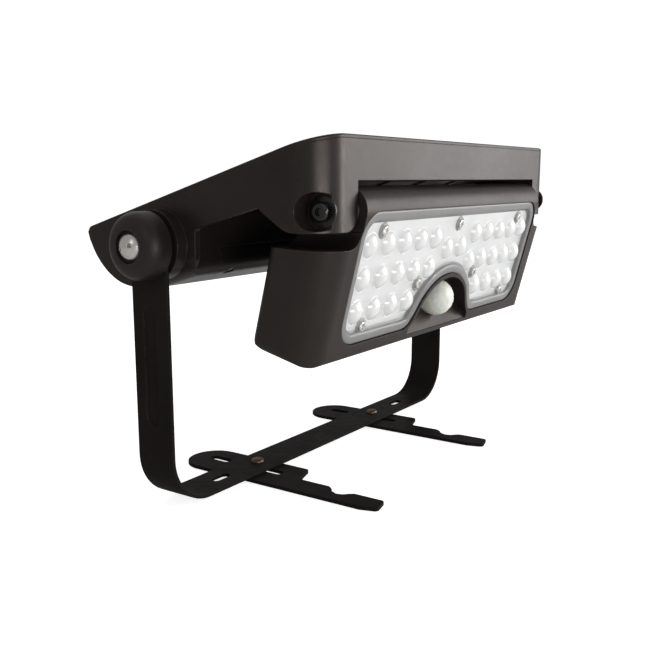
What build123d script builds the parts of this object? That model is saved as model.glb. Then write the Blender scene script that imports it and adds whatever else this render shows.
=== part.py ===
from build123d import *
import math
import os

# Solar flood light: a tilting solar panel housing with a folding LED head,
# carried in a U-shaped strap bracket with two swivelling feet.
# World frame: +Z up, X along the pivot axis, -Y the lit side (the front).
# Origin: centre of the underside of the bracket's base strap.
# Panel frame (x, p, n): origin on the tilt axis, p down the slope to the rear, n the
# panel normal. Head frame (x, y, z): origin on the lamp hinge axis, y to the rear.
# All sizes in millimetres, all angles in degrees.

# ------------------------------------------------------------ driving sizes
PIVOT_Z = 138.7        # height of the tilt axis
TILT = 16.68           # panel slope, rear edge low
FACE = 14.24           # lamp face turned down from vertical by this much
HINGE_Y = -92.5        # lamp hinge axis from the tilt axis, upright
HINGE_Z = 17.9

# bracket
STRAP_W = 25.0
STRAP_T = 2.0
U_HALF = 151.1         # outer half width
U_INNER = U_HALF - STRAP_T
BEND_R = 28.0          # outer bend radius
SLOT_X, SLOT_L, SLOT_W = 101.0, 14.0, 6.0
RIVET_X, RIVET_R = 67.0, 2.5
RIB_Z0, RIB_Z1 = 44.5, 107.5
RIB_W, RIB_D = 8.5, 0.8
RIB_Y = 0.8

# housing
HALF_W = 141.6
N_TOP = 22.6           # top of the bezel
N_SEAM = 20.6          # underside of the bezel
P_REAR = 51.4
N_BOT = -20.0
ARC_P = 11.8           # centre and radius of the rounded underside
ARC_R = P_REAR - ARC_P
ARC_N = N_BOT + ARC_R
P_WALL = -16.5         # front wall of the battery compartment
WALL = 2.4
FLOOR_LO, FLOOR_HI = 15.2, 17.2
FRONT_Y = -99.2        # upright front face of the apron
CORNER_R = 21.0
TRAY_WALL = 3.2
END_R = 10.0           # rounding of the lower side edges
CHEEK_IN = 138.2
EAR_IN = 111.0
EAR_BOT = 8.1          # underside of the ears above the tilt axis, upright
BOSS_R, BOSS_X = 18.0, 148.2
ROOM_HALF = 115.5      # half width of the battery room
N_COVER = -8.0         # top of the battery cover
GASKET = 0.8
LEAD_X, LEAD_P = 20.0, 30.0     # where the panel leads pass down

# tilt pivot and lamp hinge
PIVOT_BOLT_R = 4.0
INSERT_R = 6.5
INSERT_IN = 122.0      # inner end of the insert bores
HINGE_SCREW_R = 3.0
HINGE_RECESS_R = 8.9
HINGE_RECESS_X = 129.8
BARREL_R, BARREL_HALF = 11.5, 110.2

# small screws, shared
SHANK_R = 1.42
PILOT_R = 1.45

# lamp head
HEAD_HALF = 135.0
HEAD_FACE = -11.5      # y of the lamp face
HEAD_REAR = 24.4
HEAD_BOT = -75.0
HEAD_WALL = 2.6
SHOULDER = -18.0       # shoulder plane, before its slope
SHOULDER_TILT = 12.1   # the shoulders fall towards the rear
LEDGE_Y = -6.2         # the lens gasket seats here
REAR_LEDGE = HEAD_REAR - 3.5    # the back cover's seal seats here

os.makedirs("parts", exist_ok=True)

WORLD = Pos(0, 0, 0)
PANEL = Pos(0, 0, PIVOT_Z) * Rot(-TILT, 0, 0)
HEAD = Pos(0, HINGE_Y, PIVOT_Z + HINGE_Z) * Rot(FACE, 0, 0)
UPRIGHT = Rot(TILT, 0, 0)       # upright shapes, seen in the panel frame
SLOPE = Rot(-SHOULDER_TILT, 0, 0)

tilt_rad = math.radians(TILT)
shoulder_rad = math.radians(SHOULDER_TILT)


def to_panel(y, z):
    """Upright coordinates about the tilt axis to panel coordinates (p, n)."""
    return (y * math.cos(tilt_rad) - z * math.sin(tilt_rad),
            y * math.sin(tilt_rad) + z * math.cos(tilt_rad))


HINGE_P, HINGE_N = to_panel(HINGE_Y, HINGE_Z)


# ------------------------------------------------------------ helpers
def poly(pts):
    return make_face(Polyline(*pts, close=True))


def rounded(sketch, corners):
    """Round the corner nearest to each (x, y, radius)."""
    for (x, y, r) in corners:
        corner = min(sketch.vertices(), key=lambda v: (v.X - x) ** 2 + (v.Y - y) ** 2)
        sketch = fillet(corner, r)
    return sketch


def rect(x0, x1, y0, y1):
    return poly([(x0, y0), (x1, y0), (x1, y1), (x0, y1)])


def sym_rect(half, y0, y1, r_low=0, r_high=0):
    """Rectangle centred on x = 0 with rounded corners at y0 and y1."""
    corners = [(x, y, r) for y, r in ((y0, r_low), (y1, r_high)) if r > 0
               for x in (-half, half)]
    return rounded(rect(-half, half, y0, y1), corners)


def yz(sketch, x0, x1):
    return extrude(Plane.YZ.offset(x0) * sketch, amount=x1 - x0)


def xz(sketch, y0, y1):
    # Plane.XZ looks along -Y, so the offset is negative
    return extrude(Plane.XZ.offset(-y1) * sketch, amount=y1 - y0)


def xy(sketch, z0, z1):
    return extrude(Plane.XY.offset(z0) * sketch, amount=z1 - z0)


def box(x0, x1, y0, y1, z0, z1):
    centre = Pos((x0 + x1) / 2, (y0 + y1) / 2, (z0 + z1) / 2)
    return centre * Box(abs(x1 - x0), abs(y1 - y0), abs(z1 - z0))


def xcyl(r, x0, x1, y=0.0, z=0.0):
    return Pos((x0 + x1) / 2, y, z) * Rot(0, 90, 0) * Cylinder(r, abs(x1 - x0))


def ycyl(r, y0, y1, x=0.0, z=0.0):
    return Pos(x, (y0 + y1) / 2, z) * Rot(90, 0, 0) * Cylinder(r, abs(y1 - y0))


def zcyl(r, z0, z1, x=0.0, y=0.0):
    return Pos(x, y, (z0 + z1) / 2) * Cylinder(r, abs(z1 - z0))


def zcone(r0, r1, z0, z1):
    return Pos(0, 0, (z0 + z1) / 2) * Cone(r0, r1, z1 - z0)


def try_fillet(shape, pick, radius):
    """Round the picked edges, stepping the radius down; keep the plain shape if none fits."""
    for scale in (1.0, 0.75, 0.5, 0.3):
        edges = pick(shape)
        if not edges:
            return shape
        # guards against the kernel refusing a radius that is too large for the edges
        try:
            out = fillet(edges, radius * scale)
            if out.is_valid and out.volume > 0.5 * shape.volume:
                return out
        except Exception:
            pass
    return shape


def mirror_x(shape):
    return mirror(shape, about=Plane.YZ)


def pair(shape):
    """The left and right copies of a right-hand piece."""
    return [mirror_x(shape), shape]


def largest(shape):
    return max(shape.solids(), key=lambda s: s.volume)


def write(name, shapes, frame=WORLD):
    """Place the shapes' solids by their frame and write them to one file."""
    if not isinstance(shapes, (list, tuple)):
        shapes = [shapes]
    solids = [frame * solid for shape in shapes for solid in shape.solids()]
    whole = solids[0] if len(solids) == 1 else Compound(children=solids)
    export_step(whole, f"parts/{name}.step")


def pan_screw(head_r, head_h, length, socket=0.9):
    """Cross-slotted screw along +Z: head below z=0, shank above."""
    screw = zcyl(head_r, -head_h, 0)
    screw = try_fillet(screw, lambda s: s.edges().group_by(Axis.Z)[0], head_h * 0.45)
    screw = screw + zcyl(SHANK_R, -0.01, length)
    arm = head_r * 0.62
    z0, z1 = -head_h - 1, -head_h * 0.45
    screw = screw - box(-arm, arm, -socket / 2, socket / 2, z0, z1)
    return screw - box(-socket / 2, socket / 2, -arm, arm, z0, z1)


# ------------------------------------------------------------ U bracket
def u_bracket():
    outer = sym_rect(U_HALF, 0, PIVOT_Z + 20, BEND_R)
    inner = sym_rect(U_INNER, STRAP_T, PIVOT_Z + 30, BEND_R - STRAP_T)
    bracket = xz(outer - inner, -STRAP_W / 2, STRAP_W / 2)
    # round strap ends about the pivot
    side = sym_rect(STRAP_W / 2, -5, PIVOT_Z) + Pos(0, PIVOT_Z) * Circle(STRAP_W / 2)
    bracket = bracket & yz(side, -170, 170)
    # pressed ribs: a groove outside, a raised pad inside
    rib_at = Pos(RIB_Y, (RIB_Z0 + RIB_Z1) / 2)
    rib_len = RIB_Z1 - RIB_Z0
    for side in (-1, 1):
        groove = yz(rib_at * SlotOverall(rib_len, RIB_W, rotation=90),
                    *sorted((side * (U_HALF - RIB_D), side * (U_HALF + 1))))
        pad = yz(rib_at * SlotOverall(rib_len + 1.0, RIB_W + 1.0, rotation=90),
                 *sorted((side * (U_INNER - RIB_D), side * (U_INNER + 0.2))))
        inmost = 0 if side > 0 else -1
        pad = try_fillet(pad, lambda s: s.faces().sort_by(Axis.X)[inmost].edges(), 0.5)
        bracket = bracket + pad - groove
    bracket = bracket - xcyl(PIVOT_BOLT_R + 0.05, -170, 170, 0, PIVOT_Z)
    for side in (-1, 1):
        bracket = bracket - xy(Pos(side * SLOT_X, 0) * SlotOverall(SLOT_L, SLOT_W), -1, 3)
        bracket = bracket - zcyl(RIVET_R, -1, 3, side * RIVET_X, 0)
    return try_fillet(bracket, lambda s: s.edges().filter_by(lambda e: e.length > 90), 0.45)


write("u_bracket", u_bracket())

# ------------------------------------------------------------ feet and rivets
FOOT_TOP = -0.05
FOOT_BOT = FOOT_TOP - STRAP_T
# foot outline (x, y) about the rivet
FOOT_OUTLINE = [
    (-22.5, 29), (-22.5, -87), (-19.4, -97.2), (-7.9, -94.4), (-7.9, -75.2), (-9.6, -72.9),
    (-12.6, -70.0), (-13.4, -66.5), (-11.6, -62.6), (-8.4, -60.2), (-6.0, -57.2),
    (-6.0, -38.4), (-3.4, -35.4), (6.5, -32.4), (10.5, -31.2), (10.5, 29)]
# rounded corners (x, y, radius)
FOOT_CORNERS = [
    (-22.5, -87, 6), (-19.4, -97.2, 2.5), (-7.9, -94.4, 2.0), (-7.9, -75.2, 3.0),
    (-6.0, -57.2, 3.0), (-6.0, -38.4, 3.0), (10.5, -31.2, 2.6)]
FOOT_END = (-6, 29, 16.5)       # round rear end: x, y, radius
FOOT_SLOTS = ((-4.2, 25.7), (-4.2, -14.4))
FOOT_SLOT_L, FOOT_SLOT_W = 15.5, 5.5


def foot():
    end_x, end_y, end_r = FOOT_END
    sketch = rounded(poly(FOOT_OUTLINE) + Pos(end_x, end_y) * Circle(end_r), FOOT_CORNERS)
    for (x, y) in FOOT_SLOTS:
        sketch = sketch - Pos(x, y) * SlotOverall(FOOT_SLOT_L, FOOT_SLOT_W, rotation=90)
    plate = xy(sketch, FOOT_BOT, FOOT_TOP)
    hole_r = RIVET_R + 0.06
    plate = plate - zcyl(hole_r, FOOT_BOT - 1, FOOT_TOP + 1)
    plate = plate - zcone(hole_r + 1.5, hole_r, FOOT_BOT - 0.001, FOOT_BOT + 1.1)
    return try_fillet(plate, lambda s: s.faces().sort_by(Axis.Z)[-1].edges().filter_by(
        lambda e: e.length > 3), 0.35)


def rivet():
    """Domed head above the strap, countersunk tail in the foot."""
    tail_z = FOOT_BOT + 0.02
    body = zcyl(RIVET_R, tail_z, STRAP_T + 0.4) + zcyl(4.0, STRAP_T, STRAP_T + 1.9) \
        + zcone(RIVET_R + 1.45, RIVET_R, tail_z, FOOT_BOT + 1.05)
    return try_fillet(body, lambda s: s.edges().group_by(Axis.Z)[-1], 1.6)


foot_plate = foot()
write("foot_left", Pos(-RIVET_X, 0, 0) * foot_plate)
write("foot_right", Pos(RIVET_X, 0, 0) * foot_plate)
rivet_body = rivet()
write("foot_rivets", [Pos(side * RIVET_X, 0, 0) * rivet_body for side in (-1, 1)])

# ------------------------------------------------------------ housing shell (panel frame)
# battery cover screws: rows of (p, seat height n), repeated at each x
COVER_SCREW_X = (-108.0, -36.0, 36.0, 108.0)
COVER_SCREW_ROWS = ((-10.2, -17.2), (36.0, -9.9))
COVER_SCREWS = [(x, p, seat) for x in COVER_SCREW_X for (p, seat) in COVER_SCREW_ROWS]
CORE_X0, CORE_X1 = 121.0, 138.4
FLOOR_RIB_X = (-90, -45, 0, 45, 90)


def tray_prism(inset=0.0):
    """Plan outline set in by inset, swept straight up and down in the upright frame."""
    plan = sym_rect(HALF_W - inset, FRONT_Y + inset, 90, CORNER_R - inset)
    return UPRIGHT * xy(plan, -80, 120)


def tray_block(inset, n0, n1):
    """Slice of the plan outline between two heights, set in on all four sides."""
    return tray_prism(inset) & box(-200, 200, -130, P_REAR - inset, n0, n1)


def front_p(n, inset=0.0):
    """Panel coordinate p of the upright front face at height n."""
    y = FRONT_Y + inset
    z = (n - y * math.sin(tilt_rad)) / math.cos(tilt_rad)
    return y * math.cos(tilt_rad) - z * math.sin(tilt_rad)


def comp_profile(grow=0.0, n_top=N_SEAM):
    """Side profile (p, n) of the battery compartment, grown or (negative) shrunk."""
    r = ARC_R + grow
    sketch = rect(P_WALL - grow, ARC_P, N_BOT - grow, n_top)
    quarter = poly([(ARC_P - 0.01, ARC_N), (ARC_P - 0.01, -60), (90, -60), (90, ARC_N)])
    sketch = sketch + (Pos(ARC_P, ARC_N) * Circle(r) & quarter)
    if n_top > ARC_N:
        sketch = sketch + rect(ARC_P - 0.5, ARC_P + r, ARC_N - 0.01, n_top)
    else:
        sketch = sketch & rect(-60, 120, -60, n_top)
    return rounded(sketch, [(P_WALL - grow, N_BOT - grow, 7.0 + grow)])


def rear_envelope():
    """Side envelope with the rounded upper rear edge."""
    sketch = rounded(rect(-200, P_REAR, -80, N_TOP), [(P_REAR, N_TOP, 3.2)])
    return yz(sketch, -180, 180)


def cheek_and_ear(ends):
    """Right-hand side cheek and the ear that carries the lamp hinge."""
    ear_front = to_panel(-140.0, EAR_BOT)
    cheek_p, cheek_n = to_panel(-79.6, EAR_BOT)
    cheek = yz(rounded(
        poly([(-125, N_SEAM), ear_front, (cheek_p, cheek_n), (-65.8, 0.6), (-25.0, 1.5),
              (-20.4, -13.0), (-13.5, N_BOT), (0, N_BOT), (20, N_BOT), (20, N_SEAM)]),
        [(-65.8, 0.6, 2.5), (-25.0, 1.5, 3.0), (-20.4, -13.0, 7.0),
         (cheek_p, cheek_n, 11.0)]), CHEEK_IN, HALF_W)
    cheek = cheek & xz(ends, -140, 80)

    ear_rear = HINGE_P + 15.0
    ear = yz(rounded(
        poly([(-125, N_SEAM), ear_front, (ear_rear, cheek_n), (ear_rear, N_SEAM)]),
        [(ear_rear, cheek_n, 8.0)]), EAR_IN, HALF_W - 0.4)
    # rounded lower corner at the inner end
    front_view = rounded(rect(EAR_IN, HALF_W + 5, EAR_BOT, 90), [(EAR_IN, EAR_BOT, 10.0)])
    ear = ear & (UPRIGHT * xz(front_view, -140, 20))
    # set back behind the hinge, so the lamp shoulder can swing past
    ear = ear - box(EAR_IN - 1, EAR_IN + 8.6, HINGE_P + 7.9, HINGE_P + 30,
                    -60, FLOOR_LO - 0.5)
    return cheek + ear


def end_core():
    """Right-hand hollow outboard of the battery room, open above under the panel."""
    end_view = rounded(rect(CORE_X0, CORE_X1, N_BOT + WALL, 60),
                       [(CORE_X1, N_BOT + WALL, END_R - WALL)])
    core = yz(comp_profile(-WALL, FLOOR_HI + 0.01), CORE_X0, CORE_X1) & xz(end_view, -60, 80)
    # leave material around the pivot insert and a web below it
    return core - xcyl(10.5, CORE_X0, CORE_X1) - box(CORE_X0, CORE_X1, -1.2, 1.2, -30, 0)


def housing_shell():
    ends = sym_rect(HALF_W, N_BOT, 60, END_R)
    comp = yz(comp_profile(), -HALF_W, HALF_W) & xz(ends, -60, 80)
    floor = box(-HALF_W, HALF_W, -125, P_REAR - 0.2, FLOOR_LO, FLOOR_HI)
    rim = box(-HALF_W, HALF_W, -125, P_REAR, FLOOR_LO, N_SEAM)
    apron = yz(poly([(-125, N_SEAM), (-125, 2.2), (front_p(2.2, 2.6), 2.2),
                     (front_p(N_SEAM, 2.6), N_SEAM)]), -HALF_W, HALF_W)
    right = cheek_and_ear(ends)
    shell = comp + floor + apron + right + mirror_x(right)
    shell = (shell + rim) & tray_prism()
    shell = shell - tray_block(TRAY_WALL, FLOOR_HI, 40)
    # pivot bosses
    for side in (-1, 1):
        shell = shell + xcyl(BOSS_R, side * (HALF_W - 1), side * BOSS_X)
    for core in pair(end_core()):
        shell = shell - core
    # battery room, open below
    shell = shell - yz(comp_profile(-WALL, FLOOR_LO), -ROOM_HALF, ROOM_HALF)
    # opening for the battery cover
    column_n = N_COVER + GASKET
    shell = shell - box(-118.0, 118.0, -40, 70, -40, column_n)
    # screw columns reaching down to the cover, each webbed to the nearest wall
    arc_cyl = xcyl(ARC_R - 1, -150, 150, ARC_P, ARC_N)
    keep = arc_cyl + box(-150, 150, P_WALL + 1, ARC_P, -30, 30)
    for (x, p, _) in COVER_SCREWS:
        column = zcyl(3.8, column_n, FLOOR_LO + 0.5, x, p)
        p0, p1 = (P_WALL + 1, p) if p < 0 else (p, ARC_P + 30)
        web = box(x - 1, x + 1, p0, p1, column_n, FLOOR_LO + 0.5)
        shell = shell + (column + (web & keep)) \
            - zcyl(PILOT_R, N_COVER - 1, N_COVER + 12, x, p)
    # bores for the pivot inserts and hinge screws, recesses for the hinge screw heads
    for side in (-1, 1):
        shell = shell - xcyl(INSERT_R + 0.02, side * INSERT_IN, side * (BOSS_X + 1))
        shell = shell - xcyl(HINGE_SCREW_R + 0.05, side * (EAR_IN - 2), side * 132,
                             HINGE_P, HINGE_N)
        shell = shell - xcyl(HINGE_RECESS_R, side * HINGE_RECESS_X, side * 150,
                             HINGE_P, HINGE_N)
    # cable hole from the panel down into the battery room
    shell = shell - zcyl(2.6, FLOOR_LO - 1, FLOOR_HI + 1, LEAD_X, LEAD_P)
    # stiffening ribs under the tray floor, clear of the folded lamp
    for x in FLOOR_RIB_X:
        shell = shell + box(x - 0.9, x + 0.9, front_p(10) + 4.2, P_WALL + 0.5,
                            FLOOR_LO - 1.0, FLOOR_LO + 0.2)
    shell = shell & (tray_prism() + xcyl(BOSS_R, -BOSS_X, BOSS_X))
    return shell & rear_envelope()


write("housing_shell", housing_shell(), PANEL)


# ------------------------------------------------------------ battery cover
def battery_cover():
    cover = yz(comp_profile(), -117.7, 117.7) - yz(comp_profile(-WALL), -ROOM_HALF, ROOM_HALF)
    cover = cover & box(-130, 130, -40, 70, -40, N_COVER)
    for (x, p, seat) in COVER_SCREWS:
        post = zcyl(4.6, -30, N_COVER, x, p) & yz(comp_profile(-0.2), -130, 130)
        cover = cover + post
        cover = cover - zcyl(1.7, -30, 0, x, p) - zcyl(3.3, -40, seat, x, p)
    return cover


def cover_gasket():
    band = box(-130, 130, -40, 70, N_COVER + 0.03, N_COVER + GASKET - 0.03)
    outer = yz(comp_profile(-0.4), -117.3, 117.3) & band
    return outer - yz(comp_profile(-2.0), -115.7, 115.7)


write("battery_cover", battery_cover(), PANEL)
write("cover_gasket", cover_gasket(), PANEL)
write("cover_screws",
      [Pos(x, p, seat - 0.02) * pan_screw(2.9, 1.9, N_COVER + 9.0 - seat)
       for (x, p, seat) in COVER_SCREWS], PANEL)

# ------------------------------------------------------------ panel bezel and laminate
LIP = 6.0
LAYER_INSET = 3.6
TAPE_TOP = 18.0
BACK_N0, BACK_N1 = 18.03, 18.6
GLASS_N0, GLASS_N1 = 19.0, 21.25
CELL_COLS, CELL_ROWS = 9, 3
CELL_MARGIN = 12.5     # from the housing sides to the cell field
CELL_GAP = 0.7         # clear edge around each cell


def panel_bezel():
    blank = tray_block(0.0, N_SEAM + 0.04, N_TOP) & rear_envelope()
    bezel = blank - tray_block(LIP, 0, 40) - tray_block(TRAY_WALL, 0, 21.3)
    return try_fillet(bezel, lambda s: s.faces().sort_by(Axis.Z)[-1].outer_wire().edges(), 0.8)


def solar_cells():
    x_start = -(HALF_W - CELL_MARGIN)
    p_start = front_p(19) + 13.0
    width = -2 * x_start / CELL_COLS
    depth = (P_REAR - 11.5 - p_start) / CELL_ROWS
    cells = []
    for i in range(CELL_COLS):
        for j in range(CELL_ROWS):
            x0, p0 = x_start + i * width, p_start + j * depth
            cells.append(box(x0 + CELL_GAP, x0 + width - CELL_GAP,
                             p0 + CELL_GAP, p0 + depth - CELL_GAP,
                             BACK_N1 + 0.05, GLASS_N0 - 0.05))
    return cells


write("panel_bezel", panel_bezel(), PANEL)
write("panel_tape", tray_block(LAYER_INSET, FLOOR_HI + 0.02, TAPE_TOP)
      - tray_block(10.0, 10, 30), PANEL)
write("panel_backsheet", tray_block(LAYER_INSET, BACK_N0, BACK_N1)
      - zcyl(2.0, 10, 30, LEAD_X, LEAD_P), PANEL)
write("panel_glass", tray_block(LAYER_INSET, GLASS_N0, GLASS_N1), PANEL)
write("solar_cells", solar_cells(), PANEL)

# ------------------------------------------------------------ battery cells and cradle
BATT_R, BATT_L = 9.2, 65.0
BATT_P, BATT_N = 12.0, -5.5
BATT_PITCH = 70.0
CRADLE_HALF, CRADLE_IN = 107, 104.2
CRADLE_P0, CRADLE_P1 = 1.5, 22.5
CRADLE_BOT = -15.6


def battery_cell(x):
    end = x + BATT_L / 2
    cell = xcyl(BATT_R, x - BATT_L / 2, end - 1.2, BATT_P, BATT_N)
    cell = try_fillet(cell, lambda s: s.edges().filter_by(GeomType.CIRCLE), 0.9)
    return cell + xcyl(3.0, end - 1.4, end, BATT_P, BATT_N)


def battery_cradle():
    def wall(x0, x1, n1):
        return box(x0, x1, CRADLE_P0, CRADLE_P1, CRADLE_BOT, n1)

    cradle = wall(-CRADLE_HALF, CRADLE_HALF, -4.0) \
        - xcyl(BATT_R + 0.15, -CRADLE_IN, CRADLE_IN, BATT_P, BATT_N)
    cradle = cradle - box(-CRADLE_IN, CRADLE_IN, CRADLE_P0 + 1.6, CRADLE_P1 - 1.6, BATT_N, 0)
    cradle = cradle + wall(-CRADLE_HALF, -CRADLE_IN - 0.1, 4.0) \
        + wall(CRADLE_IN + 0.1, CRADLE_HALF, 4.0)
    # dividers midway between the cells
    for x in (-BATT_PITCH / 2, BATT_PITCH / 2):
        cradle = cradle + wall(x - 1.0, x + 1.0, 2.0)
    return cradle


write("battery_cells", [battery_cell(x) for x in (-BATT_PITCH, 0.0, BATT_PITCH)], PANEL)
write("battery_cradle", battery_cradle(), PANEL)

# ------------------------------------------------------------ control board
BOARD_N0, BOARD_N1 = 8.0, 9.6
PART_N = BOARD_N1 + 0.05        # components stand just clear of the board
BOARD_HOLES = [(-55, -1), (55, -1), (-55, 26), (55, 26)]

board = box(-60, 60, -5.5, 30.5, BOARD_N0, BOARD_N1)
for (x, p) in BOARD_HOLES:
    board = board - zcyl(1.6, 5, 12, x, p)
write("control_board", board, PANEL)

write("board_components", [
    box(-48, -38, 2, 14, PART_N, 13.2),
    box(-20, -4, 4, 20, PART_N, 11.4),
    box(8, 15, 0, 7, PART_N, 12.6),
    zcyl(4.0, PART_N, 14.6, 30, 20),
    zcyl(4.0, PART_N, 14.6, 41, 20),
    box(22, 34, -3, 4, PART_N, 14.0),
    box(-36, -24, 20, 27, PART_N, 12.0),
    box(45, 52, 4, 12, PART_N, 13.0)], PANEL)

write("board_standoffs",
      [zcyl(2.8, BOARD_N1 + 0.03, FLOOR_LO - 0.03, x, p) + zcyl(1.5, 7.0, 9.7, x, p)
       for (x, p) in BOARD_HOLES], PANEL)

# wires from the panel's backsheet to the board, path points (x, p, n)
LEAD_R = 0.7
LEAD_PATHS = [
    [(19.0, 30.0, 18.0), (19.0, 30.0, 14.0), (17.5, 26.0, 11.2), (16.5, 22.5, 10.5)],
    [(21.0, 30.0, 18.0), (21.0, 30.0, 14.0), (20.8, 27.5, 11.2), (21.5, 24.0, 10.5)]]


def wire(points):
    path = Spline(*points)
    return sweep(Plane(origin=path @ 0, z_dir=path % 0) * Circle(LEAD_R), path=path)


write("panel_leads", [wire(points) for points in LEAD_PATHS], PANEL)

# ------------------------------------------------------------ tilt pivot hardware
CAP_IN, CAP_OUT = U_HALF + 0.05, 165.0
CAP_R, CAP_ROUND = 17.2, 7.6
CAP_RECESS_R, CAP_RECESS_X = 8.2, 162.3
BOLT_IN = 123.5
BOLT_HEAD_R = 7.3
BOLT_HEAD_X = CAP_RECESS_X + 0.05
BOLT_RIM_X, BOLT_TOP_X = 163.0, 167.0
DRIVER_HOLE_R, DRIVER_HOLE_Y = 1.15, 3.4


def pivot_insert():
    insert = xcyl(INSERT_R, INSERT_IN + 0.1, BOSS_X - 0.3) - xcyl(PIVOT_BOLT_R + 0.02, 120, 150)
    groove = xcyl(INSERT_R + 1, 132, 133.2) - xcyl(INSERT_R - 0.6, 131, 134)
    return insert - groove


def pivot_cap():
    """Rounded cap over the strap end."""
    shoulder = (CAP_OUT - CAP_ROUND, CAP_R)
    rim = (CAP_OUT, CAP_R - CAP_ROUND)
    cap = revolve(make_face([
        Line((CAP_IN, 0), (CAP_IN, CAP_R)), Line((CAP_IN, CAP_R), shoulder),
        RadiusArc(shoulder, rim, CAP_ROUND), Line(rim, (CAP_OUT, 0)),
        Line((CAP_OUT, 0), (CAP_IN, 0))]), Axis.X, 360)
    cap = cap - xcyl(PIVOT_BOLT_R + 0.1, 150, 170) - xcyl(CAP_RECESS_R, CAP_RECESS_X, 170)
    # the recess mouth
    return try_fillet(cap, lambda s: s.edges().filter_by(
        lambda e: e.geom_type == GeomType.CIRCLE
        and abs(e.center().X - CAP_OUT) < 0.05 and e.radius < 9), 0.5)


def pivot_bolt():
    """Button head bolt with two driver holes."""
    rise = BOLT_TOP_X - BOLT_RIM_X
    sphere_r = (BOLT_HEAD_R ** 2 + rise ** 2) / (2 * rise)
    mid = 0.5 * math.asin(BOLT_HEAD_R / sphere_r)
    arc_mid = (BOLT_TOP_X - sphere_r + sphere_r * math.cos(mid), sphere_r * math.sin(mid))
    corners = [(BOLT_TOP_X, 0), (BOLT_IN, 0), (BOLT_IN, PIVOT_BOLT_R),
               (BOLT_HEAD_X, PIVOT_BOLT_R), (BOLT_HEAD_X, BOLT_HEAD_R),
               (BOLT_RIM_X, BOLT_HEAD_R)]
    edges = [Line(a, b) for a, b in zip(corners, corners[1:])]
    edges.append(ThreePointArc(corners[-1], arc_mid, corners[0]))
    bolt = revolve(make_face(edges), Axis.X, 360)
    for y in (-DRIVER_HOLE_Y, DRIVER_HOLE_Y):
        bolt = bolt - xcyl(DRIVER_HOLE_R, 164.2, 172, y, 0)
    return bolt


pivot_washer = xcyl(11.0, BOSS_X + 0.05, U_INNER - 0.05) - xcyl(PIVOT_BOLT_R + 0.1, 148, 150)
write("pivot_inserts", pair(pivot_insert()), PANEL)
write("pivot_bolts", pair(pivot_bolt()), PANEL)
write("pivot_caps", pair(pivot_cap()), PANEL)
write("pivot_washers", pair(pivot_washer), PANEL)

# ------------------------------------------------------------ lamp window (head frame, x-z)
WINDOW_HALF, WINDOW_TOP, WINDOW_BOT, WINDOW_R = 110.5, 2.3, -67.5, 14.0
# bell-shaped arch around the motion sensor (x, z)
BELL = [(-46.5, -67.55), (-39.5, -65.8), (-33.6, -59.4), (-27.6, -50.2), (-15.5, -41.7),
        (0, -38.6), (15.5, -41.7), (27.6, -50.2), (33.6, -59.4), (39.5, -65.8),
        (46.5, -67.55)]


def bell(grow=0.0, z_low=-90.0):
    """Area under the arch down to z_low, grown outwards or (negative) shrunk."""
    pts = []
    for i, (x, z) in enumerate(BELL):
        before = BELL[max(i - 1, 0)]
        after = BELL[min(i + 1, len(BELL) - 1)]
        dx, dz = after[0] - before[0], after[1] - before[1]
        length = math.hypot(dx, dz)
        pts.append((x - grow * dz / length, z + grow * dx / length))
    if grow < 0:
        pts = pts[1:-1]     # a shrunk arch goes without its flared feet
    start, end = pts[0], pts[-1]
    low_start, low_end = (start[0], z_low), (end[0], z_low)
    return make_face([Spline(*pts), Line(end, low_end), Line(low_end, low_start),
                      Line(low_start, start)])


def window(inset=0.0):
    """Lamp window outline, set in all round and kept clear of the arch."""
    r = max(WINDOW_R - inset, 3)
    return sym_rect(WINDOW_HALF - inset, WINDOW_BOT + inset, WINDOW_TOP - inset, r, r) \
        - bell(inset)


# ------------------------------------------------------------ head shell
FRONT_EDGE_R, REAR_EDGE_R = 16.0, 6.0   # upright edges
INNER_FACE_Y = -4.0
PIR_Y, PIR_Z, PIR_R = -5.5, -55.0, 10.8
POCKET_FLOOR, POCKET_BACK = -1.0, 1.2
COVER_HALF, COVER_TOP, COVER_BOT, COVER_R = 124.0, -29.5, -64.0, 6.0
# back cover screws (x, z)
BACK_SCREWS = [(-119.0, -34.0), (119.0, -34.0), (-119.0, -59.5), (119.0, -59.5),
               (-40.0, -33.5), (40.0, -33.5), (-40.0, -60.0), (40.0, -60.0)]


def cover_outline(inset, r):
    """Back cover outline (x, z), set in all round."""
    return sym_rect(COVER_HALF - inset, COVER_BOT + inset, COVER_TOP - inset, r, r)


def drill_back_bosses(shape):
    for (x, z) in BACK_SCREWS:
        shape = shape - ycyl(PILOT_R, 9.0, REAR_LEDGE + 1, x, z)
    return shape


def head_side():
    """Side section (y, z) of the head outboard of the barrel."""
    return rounded(poly([(HEAD_FACE, 0), (HEAD_FACE, HEAD_BOT), (HEAD_REAR, HEAD_BOT),
                         (HEAD_REAR, 0)]),
                   [(HEAD_FACE, HEAD_BOT, 2.6), (HEAD_REAR, HEAD_BOT, 11.0)])


def shoulder_envelope():
    """Everything below the shoulders, which slope down to the rear beside the barrel."""
    wide = HEAD_HALF + 5
    front_view = poly([(-wide, -150), (wide, -150), (wide, SHOULDER), (EAR_IN, SHOULDER),
                       (EAR_IN, SHOULDER + 8.0), (-EAR_IN, SHOULDER + 8.0),
                       (-EAR_IN, SHOULDER), (-wide, SHOULDER)])
    front_view = rounded(front_view, [(EAR_IN, SHOULDER, 7.99), (-EAR_IN, SHOULDER, 7.99)])
    return SLOPE * xz(front_view, -70, 70)


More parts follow.
